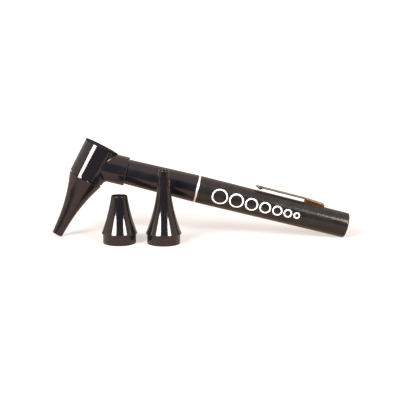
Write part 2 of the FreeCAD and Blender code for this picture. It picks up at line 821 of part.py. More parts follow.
def radial_place(along):
    """Frame on the handle's axis with Z pointing up through the tube's crown."""
    return Placement(zero_point + tailward * along, Rotation(Vector(0, 1, 0), math.degrees(tilt)))


placed = []


def put(piece, place):
    piece.Placement = place
    placed.append(piece)


handle_pieces = [make_battery_tube(), make_centre_ring(), make_front_sleeve(), make_grip_ring()]
handle_pieces += make_lamp() + make_positive_contact()
handle_pieces += make_cell("front_cell", "cell_start")
handle_pieces += make_cell("rear_cell", "cell_start + cell_length")
handle_pieces += make_tail_contacts() + [make_clip_root()]
for piece in handle_pieces:
    put(piece, handle_place)
print("handle made")

put(make_clip_arm(), clip_place)
clip_rivet, rivet_bush, switch_stud = make_clip_fixings()
put(clip_rivet, radial_place(sizes["rivet_place"]))
put(rivet_bush, radial_place(sizes["rivet_place"]))
put(switch_stud, radial_place(dimple_along))
print("clip made")

for piece in [make_head_housing(), make_light_guide()] + make_lens_cap():
    put(piece, head_place)
mounted = make_speculum("mounted_speculum", "narrow")
seat = Placement(Vector(0, 0, sizes["skirt_length"] - sizes["rim_top"]), Rotation(Vector(1, 0, 0), 180))
put(mounted, head_place.multiply(seat))
print("head made")

spares = (("narrow_spare_speculum", "narrow"), ("wide_spare_speculum", "wide"))
for label, model in spares:
    spot = Vector(sizes[model + "_spare_place"], -sizes["spare_row"], 0)
    put(make_speculum(label, model), Placement(spot, Rotation()))
doc.recompute()

# the origin is the middle of the base of the whole set
outline = FreeCAD.BoundBox()
for piece in placed:
    outline.add(piece.Shape.optimalBoundingBox(False, False))
shift = Vector(-outline.Center.x, -outline.Center.y, -outline.ZMin)
for piece in placed:
    piece.Placement = Placement(piece.Placement.Base + shift, piece.Placement.Rotation)
doc.recompute()

for item in doc.Objects:
    if "Invalid" in item.State or "Error" in item.State:
        raise RuntimeError(item.Name + " failed to build")
for piece in placed:
    if piece.Shape.isNull() or not piece.Shape.isValid():
        raise RuntimeError(piece.Label + " has no valid shape")

os.makedirs("parts", exist_ok=True)
for piece in placed:
    piece.Shape.exportStep("parts/%s.step" % piece.Label)

print("tilt %.4f deg" % math.degrees(tilt))
print("barrel axis (%.8f, %.8f, %.8f)" % tuple(barrel_up))
print("handle zero at (%.4f, %.4f, %.4f)" % tuple(zero_point + shift))
print("size %.2f x %.2f x %.2f" % (outline.XLength, outline.YLength, outline.ZLength))
print(len(placed), "pieces written")
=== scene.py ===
import json
import math

import bmesh
import bpy
import numpy as np
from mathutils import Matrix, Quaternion, Vector


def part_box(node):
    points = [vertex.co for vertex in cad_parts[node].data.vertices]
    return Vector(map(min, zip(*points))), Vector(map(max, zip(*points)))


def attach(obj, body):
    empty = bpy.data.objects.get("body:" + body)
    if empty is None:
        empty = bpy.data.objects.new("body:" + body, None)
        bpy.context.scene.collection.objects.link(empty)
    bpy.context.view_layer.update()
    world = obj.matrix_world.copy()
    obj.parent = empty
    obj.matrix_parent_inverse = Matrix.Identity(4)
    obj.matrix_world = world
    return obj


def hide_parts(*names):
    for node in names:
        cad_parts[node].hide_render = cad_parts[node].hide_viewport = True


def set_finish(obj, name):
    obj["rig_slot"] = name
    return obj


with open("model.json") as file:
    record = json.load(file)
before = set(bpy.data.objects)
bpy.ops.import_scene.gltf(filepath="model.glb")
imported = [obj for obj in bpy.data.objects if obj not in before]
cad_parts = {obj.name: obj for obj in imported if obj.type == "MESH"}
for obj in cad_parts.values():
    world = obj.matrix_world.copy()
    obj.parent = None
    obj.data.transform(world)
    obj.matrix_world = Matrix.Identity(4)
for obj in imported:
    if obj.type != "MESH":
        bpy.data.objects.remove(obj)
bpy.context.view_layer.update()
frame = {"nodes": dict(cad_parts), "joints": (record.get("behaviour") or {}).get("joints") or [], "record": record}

mm = 0.001
joints = {joint["name"]: joint for joint in frame["joints"]}

# axes of the object: the handle's from head to tail, the barrel's from speculum to lens
handleZero = np.array(joints["head_turn"]["pos_m"])
tailward = np.array(joints["head_turn"]["axis"])
barrelUp = np.array(joints["lens_pull"]["axis"])
across = np.array([0.0, 1.0, 0.0])
handleUp = np.cross(tailward, across)


def nodePoints(node):
    mesh = frame["nodes"][node].data
    flat = np.empty(len(mesh.vertices) * 3)
    mesh.vertices.foreach_get("co", flat)
    return flat.reshape(-1, 3)


def reach(node, origin, axis):
    # how far a node reaches along an axis from a point, both ways, in mm
    along = (nodePoints(node) - origin) @ axis
    return along.min() / mm, along.max() / mm


lensPoints = nodePoints("magnifier_lens")
lensCentre = (lensPoints.min(axis=0) + lensPoints.max(axis=0)) / 2
# the crossing is the handle's point nearest to the barrel's axis
steps = np.linalg.lstsq(np.stack([tailward, -barrelUp], axis=1), lensCentre - handleZero, rcond=None)[0]
crossing = handleZero + tailward * steps[0]
print("frame read")


def rounded(corners, steps=8):
    # corners (out, along, radius) of a closed outline; each becomes an arc tangent to both of its
    # sides, centred on the corner's bisector, and radius 0 keeps the point
    points = np.array([corner[:2] for corner in corners], float)
    parts = []
    for i, corner in enumerate(corners):
        point, radius = points[i], corner[2]
        if radius == 0:
            parts.append(point[None])
            continue
        before = points[i - 1] - point
        after = points[(i + 1) % len(points)] - point
        before, after = before / np.linalg.norm(before), after / np.linalg.norm(after)
        half = math.acos(np.clip(before @ after, -1, 1)) / 2
        bisector = (before + after) / np.linalg.norm(before + after)
        centre = point + bisector * radius / math.sin(half)
        first = point + before * radius / math.tan(half) - centre
        last = point + after * radius / math.tan(half) - centre
        parts.append(centre + turnBetween(first, last, np.linspace(0, 1, steps + 1)))
    return np.vstack(parts)


def turnBetween(first, last, share):
    # spokes from first to last, both of one length: sin((1 - t) a) first + sin(t a) last, over sin a
    cosine = first @ last / (np.linalg.norm(first) * np.linalg.norm(last))
    angle = math.acos(np.clip(cosine, -1, 1))
    share = share[:, None]
    return (np.sin((1 - share) * angle) * first + np.sin(share * angle) * last) / math.sin(angle)


def bowed(start, end, radius, hand, steps=28):
    # corners on an arc between two points, bowed to the right of travel for hand 1, left for -1
    start, end = np.array(start, float), np.array(end, float)
    chord = end - start
    half = np.linalg.norm(chord) / 2
    side = np.array([chord[1], -chord[0]]) / (2 * half) * hand
    centre = (start + end) / 2 - side * math.sqrt(radius ** 2 - half ** 2)
    share = np.linspace(0, 1, steps + 2)[1:-1]
    return [(*point, 0) for point in centre + turnBetween(start - centre, end - centre, share)]


def gridFaces(rows, columns, closeRows, closeColumns):
    # quads of a grid whose vertex number is row x columns + column
    i, j = np.meshgrid(np.arange(rows if closeRows else rows - 1),
                       np.arange(columns if closeColumns else columns - 1), indexing="ij")
    nextRow, nextColumn = (i + 1) % rows, (j + 1) % columns
    quads = np.stack([i * columns + j, i * columns + nextColumn,
                      nextRow * columns + nextColumn, nextRow * columns + j], axis=-1)
    return quads.reshape(-1, 4).tolist()


def closeSeams(mesh):
    # joins the points that lie on one another and turns the faces outwards
    shape = bmesh.new()
    shape.from_mesh(mesh)
    bmesh.ops.remove_doubles(shape, verts=shape.verts, dist=2e-7)
    bmesh.ops.recalc_face_normals(shape, faces=shape.faces)
    shape.to_mesh(mesh)
    shape.free()


def addPiece(name, points, faces, body, slotName, replaced=(), sharp=40):
    mesh = bpy.data.meshes.new(name)
    mesh.from_pydata(points.tolist(), [], faces)
    closeSeams(mesh)
    mesh.polygons.foreach_set("use_smooth", np.ones(len(mesh.polygons), bool))
    mesh.set_sharp_from_angle(angle=math.radians(sharp))
    mesh.update()
    piece = bpy.data.objects.new(name, mesh)
    bpy.context.scene.collection.objects.link(piece)
    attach(piece, body)
    if slotName:
        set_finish(piece, slotName)
    if replaced:
        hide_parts(*replaced)
    return piece


stepsRound = {"fine": 256, "plain": 192}


def turned(name, profile, origin, axis, body, slotName, replaced, around=stepsRound["plain"]):
    # turns a closed outline of (radius, length) about the axis: a vertex lies at
    # origin + length x axis + radius x (cos a x one side + sin a x the other)
    side = np.cross(across, axis)
    side /= np.linalg.norm(side)
    other = np.cross(axis, side)
    angle = np.linspace(0, 2 * math.pi, around, endpoint=False)[:, None]
    spoke = np.cos(angle) * side + np.sin(angle) * other
    outline = profile[:, None] * mm
    points = origin + outline[..., 1:] * axis + outline[..., :1] * spoke[None]
    faces = gridFaces(len(profile), around, True, True)
    return addPiece(name, points.reshape(-1, 3), faces, body, slotName, [replaced])


ring = {"radius": 7.225, "bore": 6.475, "edge": 0.3, "boreEdge": 0.05, "play": 0.02}
ringFront, ringRear = reach("centre_ring", handleZero, tailward)


def makeRing():
    profile = rounded([
        (ring["bore"], ringFront, ring["boreEdge"]), (ring["radius"], ringFront, ring["edge"]),
        (ring["radius"], ringRear, ring["edge"]), (ring["bore"], ringRear, ring["boreEdge"]),
    ])
    return turned("centreRing", profile, handleZero, tailward, "ring", "bright_ring", "centre_ring",
                  stepsRound["fine"])


sleeve = {"frontRadius": 6.6, "rearRadius": 7.225, "spigotRadius": 5.3, "grooveRadius": 5.0,
          "threadRadius": 6.425, "lampBore": 4.4, "cellBore": 5.65, "seam": 0.1, "frontEdge": 0.28,
          "edge": 0.2, "boreEdge": 0.1, "grooveFront": -5.2, "grooveRear": -2.2, "lampBoreEnd": 15.0}
shoulder = ringFront - ring["play"]


def makeSleeve():
    front, rear = reach("front_sleeve", handleZero, tailward)
    spigot, groove, edge = sleeve["spigotRadius"], sleeve["grooveRadius"], sleeve["edge"]
    profile = rounded([
        (sleeve["lampBore"], front, sleeve["boreEdge"]), (spigot, front, edge),
        (spigot, sleeve["grooveFront"], 0), (groove, sleeve["grooveFront"], 0),
        (groove, sleeve["grooveRear"], 0), (spigot, sleeve["grooveRear"], 0),
        (spigot, sleeve["seam"], 0), (sleeve["frontRadius"], sleeve["seam"], sleeve["frontEdge"]),
        (sleeve["rearRadius"], shoulder, edge), (sleeve["threadRadius"], shoulder, 0),
        (sleeve["threadRadius"], rear, edge), (sleeve["cellBore"], rear, sleeve["boreEdge"]),
        (sleeve["cellBore"], sleeve["lampBoreEnd"], 0), (sleeve["lampBore"], sleeve["lampBoreEnd"], 0),
    ])
    return turned("frontSleeve", profile, handleZero, tailward, "front", "semi_gloss_black",
                  "front_sleeve", stepsRound["fine"])


ringPiece, sleevePiece = makeRing(), makeSleeve()
print("handle made")

tube = {"frontRadius": 7.225, "rearRadius": 6.6, "front": ringRear + ring["play"], "taperEnd": 118.0}


def crownAt(along):
    taper = (tube["frontRadius"] - tube["rearRadius"]) / (tube["taperEnd"] - tube["front"])
    return tube["frontRadius"] - (along - tube["front"]) * taper


def onHandle(along, sideways, above):
    # points at a length along the handle, a way sideways and a height above its axis, in mm
    return (handleZero + np.multiply.outer(along, tailward) * mm
            + np.multiply.outer(sideways, across) * mm + np.multiply.outer(above, handleUp) * mm)


clip = {"halfWidth": 2.5, "sheet": 0.55, "height": 2.3, "tailHeight": 1.55, "edge": 0.16,
        "beadRadius": 2.35, "beadDepth": 1.15, "floor": 0.5, "seatGap": 0.02,
        "insideCorner": 0.12, "outsideCorner": 0.32, "rearEdge": 0.4, "rays": 49, "crowding": 1.6,
        "wallRows": 12, "mouthRows": 5, "rearRows": 8, "mouthStep": 0.1, "mouthFlare": 0.06,
        "endMargin": 0.6}
bead = reach("clip_arm", handleZero, tailward)[0] + clip["halfWidth"]
armRear = reach("clip_arm", handleZero, tailward)[1]
bend, clipTail = reach("clip_root", handleZero, tailward)


def sheetProfile(steps=5, inner=14):
    # half a cross section of the strip, from the middle of its top round the edge to the middle
    # of its underside: flat, two quarter circles, flat; gives the distance out and the depth
    edge, sheet, width = clip["edge"], clip["sheet"], clip["halfWidth"]
    flat = np.linspace(0, width - edge, inner)
    quarter = np.linspace(0, math.pi / 2, steps + 1)[1:]
    out = np.concatenate([flat, width - edge + edge * np.sin(quarter),
                          width - edge + edge * np.cos(quarter[:-1]), flat[::-1]])
    depth = np.concatenate([0 * flat, edge - edge * np.cos(quarter),
                            sheet - edge + edge * np.sin(quarter[:-1]), sheet + 0 * flat])
    return out, depth


def makeArm():
    # rays of the half section go forward along one side, sweep round the nose and come back along
    # the other; the bead's dent is half a cosine of the distance from the bead's centre
    out, depth = sheetProfile()
    lengths = bead + (armRear - bead) * np.linspace(1, 0, clip["rays"])[:-1] ** clip["crowding"]
    sweep = np.linspace(0, math.pi, clip["rays"])
    along = np.concatenate([
        np.repeat(lengths[:, None], len(out), 1),
        bead - np.sin(sweep)[:, None] * out,
        np.repeat(lengths[::-1, None], len(out), 1),
    ])
    sideways = np.concatenate([
        np.repeat(out[None], len(lengths), 0),
        np.cos(sweep)[:, None] * out,
        np.repeat(-out[None], len(lengths), 0),
    ])
    away = np.minimum(np.hypot(along - bead, sideways) / clip["beadRadius"], 1)
    dent = clip["beadDepth"] * (0.5 + 0.5 * np.cos(math.pi * away))
    above = crownAt(along) + clip["height"] - depth - dent
    rays, ends = along.shape
    points = onHandle(along, sideways, above).reshape(-1, 3)
    lastRay = (rays - 1) * ends
    cap = list(range(ends)) + list(range(lastRay + ends - 1, lastRay - 1, -1))
    return addPiece("clipArm", points, gridFaces(rays, ends, False, False) + [cap], "clip_spring",
                    "clip_brass", ["clip_arm"])


def channelLoop(half, low, high, corner, lowArc=None, steps=6, sideSteps=4, flatSteps=8):
    # one loop of the root's channel: up one side, over the top with rounded corners, down the
    # other side and back along the underside, which follows a circle of radius lowArc if given
    quarter = np.linspace(0, math.pi / 2, steps + 1)
    side = np.linspace(0, 1, sideSteps, endpoint=False)
    flat = np.linspace(0, 1, flatSteps + 1)[1:-1]
    under = half * (-1 + 2 * np.concatenate([[0], flat]))
    underside = np.full(len(under), low) if lowArc is None else np.sqrt(lowArc ** 2 - under ** 2)
    foot = low if lowArc is None else math.sqrt(lowArc ** 2 - half ** 2)
    straight = high - corner
    sideways = np.concatenate([
        np.full(sideSteps, half), half - corner + corner * np.cos(quarter),
        (half - corner) * (1 - 2 * flat), -half + corner - corner * np.sin(quarter),
        np.full(sideSteps, -half), under,
    ])
    up = np.concatenate([
        foot + (straight - foot) * side, straight + corner * np.sin(quarter),
        np.full(len(flat), high), straight + corner * np.cos(quarter),
        straight - (straight - foot) * side, underside,
    ])
    return sideways, up


def makeRoot():
    # loops run from the inner end wall forward along the inside, round the mouth, and back along
    # the outside to the outer end wall; a fan closes each end
    half, sheet, edge, rearEdge = clip["halfWidth"], clip["sheet"], clip["edge"], clip["rearEdge"]
    margin = clip["endMargin"]
    slope = (clip["tailHeight"] - clip["height"]) / (clipTail - bend)
    rows = []

    def addRow(length, inside, shrink=0.0):
        crown = crownAt(length)
        top = crown + clip["height"] + slope * (length - bend)
        if inside:
            loop = channelLoop(half - sheet - shrink, crown + clip["floor"] + shrink,
                               top - sheet - shrink, clip["insideCorner"])
        else:
            loop = channelLoop(half - shrink, 0, top - shrink, clip["outsideCorner"],
                               crown + clip["seatGap"] + shrink)
        rows.append((np.full(len(loop[0]), length), *loop))

    for length in np.linspace(clipTail - sheet, bend + clip["mouthStep"], clip["wallRows"]):
        addRow(length, True)
    addRow(bend, True, -clip["mouthFlare"])
    for angle in np.linspace(0, math.pi / 2, clip["mouthRows"]):
        addRow(bend + edge - edge * math.cos(angle), False, edge - edge * math.sin(angle))
    for length in np.linspace(bend + margin, clipTail - margin, clip["wallRows"]):
        addRow(length, False)
    for angle in np.linspace(0, math.pi / 2, clip["rearRows"]):
        shrink = rearEdge - rearEdge * math.cos(angle)
        addRow(clipTail - rearEdge + rearEdge * math.sin(angle), False, shrink)
    along, sideways, above = (np.array([row[k] for row in rows]) for k in range(3))
    count, loop = along.shape
    poles = [onHandle(along[k].mean(), 0.0, (above[k].min() + above[k].max()) / 2) for k in (0, -1)]
    points = np.vstack([onHandle(along, sideways, above).reshape(-1, 3), *poles])
    turn = np.arange(loop)
    following = (turn + 1) % loop
    lastRow = (count - 1) * loop
    innerFan = np.stack([np.full(loop, count * loop), following, turn], axis=1).tolist()
    outerFan = np.stack([np.full(loop, count * loop + 1), lastRow + turn, lastRow + following], axis=1)
    faces = gridFaces(count, loop, False, True) + innerFan + outerFan.tolist()
    return addPiece("clipRoot", points, faces, "handle", "clip_brass", ["clip_root"])


armPiece, rootPiece = makeArm(), makeRoot()
print("clip made")

bezel = {"radius": 9.25, "opening": 6.7, "skirt": 7.95, "lensSeat": 7.25, "lipLow": 8.75,
         "shoulder": 9.4, "edge": 0.4, "rim": 0.28, "smallEdge": 0.08}


def makeBezel():
    low, high = reach("lens_bezel", crossing, barrelUp)
    small = bezel["smallEdge"]
    profile = rounded([
        (bezel["opening"], bezel["lipLow"], small), (bezel["opening"], high, bezel["edge"]),
        (bezel["radius"], high, bezel["rim"]), (bezel["radius"], bezel["shoulder"], small),
        (bezel["skirt"], bezel["shoulder"], 0), (bezel["skirt"], low, small),
        (bezel["lensSeat"], low, 0), (bezel["lensSeat"], bezel["lipLow"], 0),
    ])
    return turned("lensBezel", profile, crossing, barrelUp, "lens_cap", "bezel_black", "lens_bezel",
                  stepsRound["fine"])


bezelPiece = makeBezel()

speculum = {"skirt": 8.45, "skirtLength": 5.0, "rim": 9.1, "rimThickness": 0.7, "wall": 0.75, "base": 8.95,
            "arc": 89.0, "boreStart": 6.6, "tipWall": 0.5, "boreEdge": 0.15, "skirtEdge": 0.25,
            "rimCorner": 0.12, "rimLowEdge": 0.22, "rimHighEdge": 0.3, "fillet": 0.02}
narrow = {"tip": 2.7, "straight": 5.0, "straightRadius": 3.03}
wide = {"tip": 4.1, "straight": 1.5, "straightRadius": 4.33}


def funnelOutline(model, top):
    # a funnel that stands on its skirt; both long walls are arcs bowed inwards
    straight, skirtTop = top - model["straight"], speculum["skirtLength"]
    outside, lip = model["straightRadius"], speculum["tipWall"]
    rimTop = skirtTop + speculum["rimThickness"]
    bore, base, tipEdge = speculum["skirt"] - speculum["wall"], speculum["base"], lip * 0.49
    return rounded([
        (bore, 0, speculum["boreEdge"]), (speculum["skirt"], 0, speculum["skirtEdge"]),
        (speculum["skirt"], skirtTop, speculum["rimCorner"]),
        (speculum["rim"], skirtTop, speculum["rimLowEdge"]),
        (speculum["rim"], rimTop, speculum["rimHighEdge"]),
        (base - speculum["fillet"], rimTop + speculum["fillet"], 0),
        *bowed((base, rimTop), (outside, straight), speculum["arc"], -1), (outside, straight, 0),
        (model["tip"], top, tipEdge), (model["tip"] - lip, top, tipEdge), (outside - lip, straight, 0),
        *bowed((outside - lip, straight), (bore, speculum["boreStart"]), speculum["arc"], 1),
        (bore, speculum["boreStart"], 0),
    ])


def makeSpecula():
    made = []
    low, high = reach("mounted_speculum", crossing, barrelUp)
    rimPlace = crossing + barrelUp * high * mm
    made.append(turned("mountedSpeculum", funnelOutline(narrow, high - low), rimPlace, -barrelUp,
                       "speculum", "speculum_black", "mounted_speculum"))
    for name, node, body, model in (("narrowSpare", "narrow_spare_speculum", "narrow_spare", narrow),
                                    ("wideSpare", "wide_spare_speculum", "wide_spare", wide)):
        low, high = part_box(node)
        foot = np.array([(low.x + high.x) / 2, (low.y + high.y) / 2, low.z])
        outline = funnelOutline(model, (high.z - low.z) / mm)
        made.append(turned(name, outline, foot, np.array([0.0, 0.0, 1.0]), body, "speculum_black", node))
    return made


speculumPieces = makeSpecula()

gauge = {"sizes": [8.4, 7.6, 6.8, 6.0, 5.2, 4.4, 3.4], "first": 45.8, "gap": 0.9,
         "line": 0.7, "proud": 0.03, "sunk": 0.05, "around": 96}


def makeGauge():
    # a row of flat ring outlines wrapped round the tube: a point at distance r and angle a from a
    # ring's centre lies r cos a along the handle and r sin a / tube radius round it
    angle = np.linspace(0, 2 * math.pi, gauge["around"], endpoint=False)
    points, faces, place = [], [], gauge["first"]
    for number, size in enumerate(gauge["sizes"]):
        outer, inner = size / 2, size / 2 - gauge["line"]
        centre = place + outer
        place += size + gauge["gap"]
        for radius, rise in ((outer, -gauge["sunk"]), (outer, gauge["proud"]),
                             (inner, gauge["proud"]), (inner, -gauge["sunk"])):
            along = centre + radius * np.cos(angle)
            wrap = radius * np.sin(angle) / crownAt(along)
            far = crownAt(along) + rise
            points.append(onHandle(along, -far * np.cos(wrap), far * np.sin(wrap)))
        quads = np.array(gridFaces(4, len(angle), True, True)) + number * 4 * len(angle)
        faces += quads.tolist()
    return addPiece("printedGauge", np.vstack(points), faces, "handle", None)


gaugePiece = makeGauge()
print("gauge made")


def newGroup(name, inputs, outputs):
    group = bpy.data.node_groups.new(name, "ShaderNodeTree")
    for label, kind, value in inputs:
        socket = group.interface.new_socket(label, in_out="INPUT", socket_type=kind)
        if value is not None:
            socket.default_value = value
    for label, kind in outputs:
        group.interface.new_socket(label, in_out="OUTPUT", socket_type=kind)
    return group, group.nodes.new("NodeGroupInput").outputs, group.nodes.new("NodeGroupOutput").inputs


def feed(tree, value, socket):
    # a socket is linked, a plain number or colour is set
    if isinstance(value, bpy.types.NodeSocket):
        tree.links.new(value, socket)
    else:
        socket.default_value = value


def mathNode(tree, operation, first, second, clamp=False):
    node = tree.nodes.new("ShaderNodeMath")
    node.operation = operation
    node.use_clamp = clamp
    feed(tree, first, node.inputs[0])
    feed(tree, second, node.inputs[1])
    return node.outputs[0]


def noise(tree, vector, scale, detail, roughness=0.6):
    node = tree.nodes.new("ShaderNodeTexNoise")
    node.inputs["Detail"].default_value = detail
    node.inputs["Roughness"].default_value = roughness
    feed(tree, vector, node.inputs["Vector"])
    feed(tree, scale, node.inputs["Scale"])
    return node.outputs["Fac"]


def spread(tree, value, low, high, toLow, toHigh):
    node = tree.nodes.new("ShaderNodeMapRange")
    for label, number in (("Value", value), ("From Min", low), ("From Max", high),
                          ("To Min", toLow), ("To Max", toHigh)):
        feed(tree, number, node.inputs[label])
    return node.outputs["Result"]


def mixColour(tree, share, first, second):
    node = tree.nodes.new("ShaderNodeMix")
    node.data_type = "RGBA"
    shown = {socket.name: socket for socket in node.inputs if socket.enabled}
    for label, value in (("Factor", share), ("A", first), ("B", second)):
        feed(tree, value, shown[label])
    return next(socket for socket in node.outputs if socket.enabled)


def blend(tree, first, second, share):
    # first x (1 - share) + second x share, for two patterns
    return mathNode(tree, "ADD", mathNode(tree, "MULTIPLY", first, 1 - share),
                    mathNode(tree, "MULTIPLY", second, share))


def makeSkinGroup():
    # moulded or painted skin: broad cloudiness in tone and gloss, fine grain, and a height
    group, get, put = newGroup("mouldedSkin", [
        ("Vector", "NodeSocketVector", None), ("Tone", "NodeSocketColor", (0.01, 0.01, 0.012, 1)),
        ("Second Tone", "NodeSocketColor", (0.014, 0.013, 0.015, 1)),
        ("Grain Scale", "NodeSocketFloat", 4000.0), ("Cloud Scale", "NodeSocketFloat", 120.0),
        ("Smoothest", "NodeSocketFloat", 0.1), ("Roughest", "NodeSocketFloat", 0.2),
    ], [("Color", "NodeSocketColor"), ("Roughness", "NodeSocketFloat"), ("Height", "NodeSocketFloat")])
    cloud = noise(group, get["Vector"], get["Cloud Scale"], 4.0)
    grain = noise(group, get["Vector"], get["Grain Scale"], 2.0, 0.5)
    both = blend(group, cloud, grain, 0.4)
    share = spread(group, both, 0.35, 0.65, 0.0, 1.0)
    feed(group, mixColour(group, share, get["Tone"], get["Second Tone"]), put["Color"])
    feed(group, spread(group, both, 0.35, 0.65, get["Smoothest"], get["Roughest"]), put["Roughness"])
    feed(group, grain, put["Height"])
    return group


def makeDustGroup():
    # sparse pale specks and a thin film, thicker on surfaces that face up
    group, get, put = newGroup("settledDust", [
        ("Vector", "NodeSocketVector", None), ("Normal", "NodeSocketVector", None),
        ("Color", "NodeSocketColor", (0.01, 0.01, 0.01, 1)),
        ("Dust Color", "NodeSocketColor", (0.3, 0.28, 0.26, 1)), ("Amount", "NodeSocketFloat", 0.2),
    ], [("Color", "NodeSocketColor")])
    parts = group.nodes.new("ShaderNodeSeparateXYZ")
    feed(group, get["Normal"], parts.inputs[0])
    facing = spread(group, parts.outputs["Z"], -0.2, 0.9, 0.15, 1.0)
    specks = spread(group, noise(group, get["Vector"], 2600.0, 2.0), 0.66, 0.74, 0.0, 1.0)
    film = spread(group, noise(group, get["Vector"], 90.0, 4.0), 0.4, 0.75, 0.0, 0.25)
    mask = mathNode(group, "MULTIPLY", mathNode(group, "ADD", specks, film, True),
                    mathNode(group, "MULTIPLY", facing, get["Amount"]), True)
    feed(group, mixColour(group, mask, get["Color"], get["Dust Color"]), put["Color"])
    return group


def makeLinesGroup():
    # turned or rolled metal: fine lines stretched along one direction, and stains; tone and gloss follow
    group, get, put = newGroup("metalLines", [
        ("Vector", "NodeSocketVector", None), ("Stretch", "NodeSocketVector", (300.0, 6000.0, 6000.0)),
        ("Tone", "NodeSocketColor", (0.5, 0.5, 0.5, 1)),
        ("Second Tone", "NodeSocketColor", (0.4, 0.4, 0.4, 1)),
        ("Smoothest", "NodeSocketFloat", 0.15), ("Roughest", "NodeSocketFloat", 0.35),
    ], [("Color", "NodeSocketColor"), ("Roughness", "NodeSocketFloat"), ("Height", "NodeSocketFloat")])
    scaled = group.nodes.new("ShaderNodeVectorMath")
    scaled.operation = "MULTIPLY"
    feed(group, get["Vector"], scaled.inputs[0])
    feed(group, get["Stretch"], scaled.inputs[1])
    lines = noise(group, scaled.outputs[0], 1.0, 3.0)
    both = blend(group, lines, noise(group, get["Vector"], 350.0, 4.0, 0.65), 0.5)
    share = spread(group, both, 0.35, 0.65, 0.0, 1.0)
    feed(group, mixColour(group, share, get["Tone"], get["Second Tone"]), put["Color"])
    feed(group, spread(group, both, 0.35, 0.65, get["Smoothest"], get["Roughest"]), put["Roughness"])
    feed(group, lines, put["Height"])
    return group


skinGroup, dustGroup, linesGroup = makeSkinGroup(), makeDustGroup(), makeLinesGroup()


def startMaterial(name):
    material = bpy.data.materials.new(name)
    material.use_nodes = True
    tree = material.node_tree
    return material, tree, tree.nodes["Principled BSDF"], tree.nodes.new("ShaderNodeTexCoord").outputs


def addGroup(tree, group, values):
    node = tree.nodes.new("ShaderNodeGroup")
    node.node_tree = group
    for label, value in values.items():
        feed(tree, value, node.inputs[label])
    return node.outputs


def addBump(tree, shader, height, distance, strength):
    bump = tree.nodes.new("ShaderNodeBump")
    bump.inputs["Distance"].default_value = distance
    bump.inputs["Strength"].default_value = strength
    feed(tree, height, bump.inputs["Height"])
    feed(tree, bump.outputs["Normal"], shader.inputs["Normal"])


warmSheen = (1.0, 0.90, 0.86, 1)


def skinMaterial(name, tone, second, smoothest, roughest, grain=4000.0, cloud=120.0, bump=0.05,
                 distance=0.00002, dust=0.0, ior=1.5):
    material, tree, shader, coordinates = startMaterial(name)
    skin = addGroup(tree, skinGroup, {
        "Vector": coordinates["Object"], "Tone": (*tone, 1), "Second Tone": (*second, 1),
        "Grain Scale": grain, "Cloud Scale": cloud, "Smoothest": smoothest, "Roughest": roughest})
    dusty = addGroup(tree, dustGroup, {"Vector": coordinates["Object"], "Normal": coordinates["Normal"],
                                       "Color": skin["Color"], "Amount": dust})
    feed(tree, dusty["Color"], shader.inputs["Base Color"])
    feed(tree, skin["Roughness"], shader.inputs["Roughness"])
    shader.inputs["IOR"].default_value = ior
    shader.inputs["Specular Tint"].default_value = warmSheen
    addBump(tree, shader, skin["Height"], distance, bump)
    return material


def metalMaterial(name, tone, second, smoothest, roughest, stretch=(2500.0, 2500.0, 2500.0), bump=0.08,
                  distance=0.00001):
    material, tree, shader, coordinates = startMaterial(name)
    lines = addGroup(tree, linesGroup, {
        "Vector": coordinates["Object"], "Stretch": stretch, "Tone": (*tone, 1),
        "Second Tone": (*second, 1), "Smoothest": smoothest, "Roughest": roughest})
    feed(tree, lines["Color"], shader.inputs["Base Color"])
    feed(tree, lines["Roughness"], shader.inputs["Roughness"])
    shader.inputs["Metallic"].default_value = 1.0
    addBump(tree, shader, lines["Height"], distance, bump)
    return material


def clearMaterial(name, tint, roughness, ior):
    material, tree, shader, coordinates = startMaterial(name)
    haze = noise(tree, coordinates["Object"], 400.0, 4.0)
    feed(tree, spread(tree, haze, 0.3, 0.7, roughness * 0.5, roughness * 1.5), shader.inputs["Roughness"])
    shader.inputs["Base Color"].default_value = (*tint, 1)
    shader.inputs["Transmission Weight"].default_value = 1.0
    shader.inputs["IOR"].default_value = ior
    return material


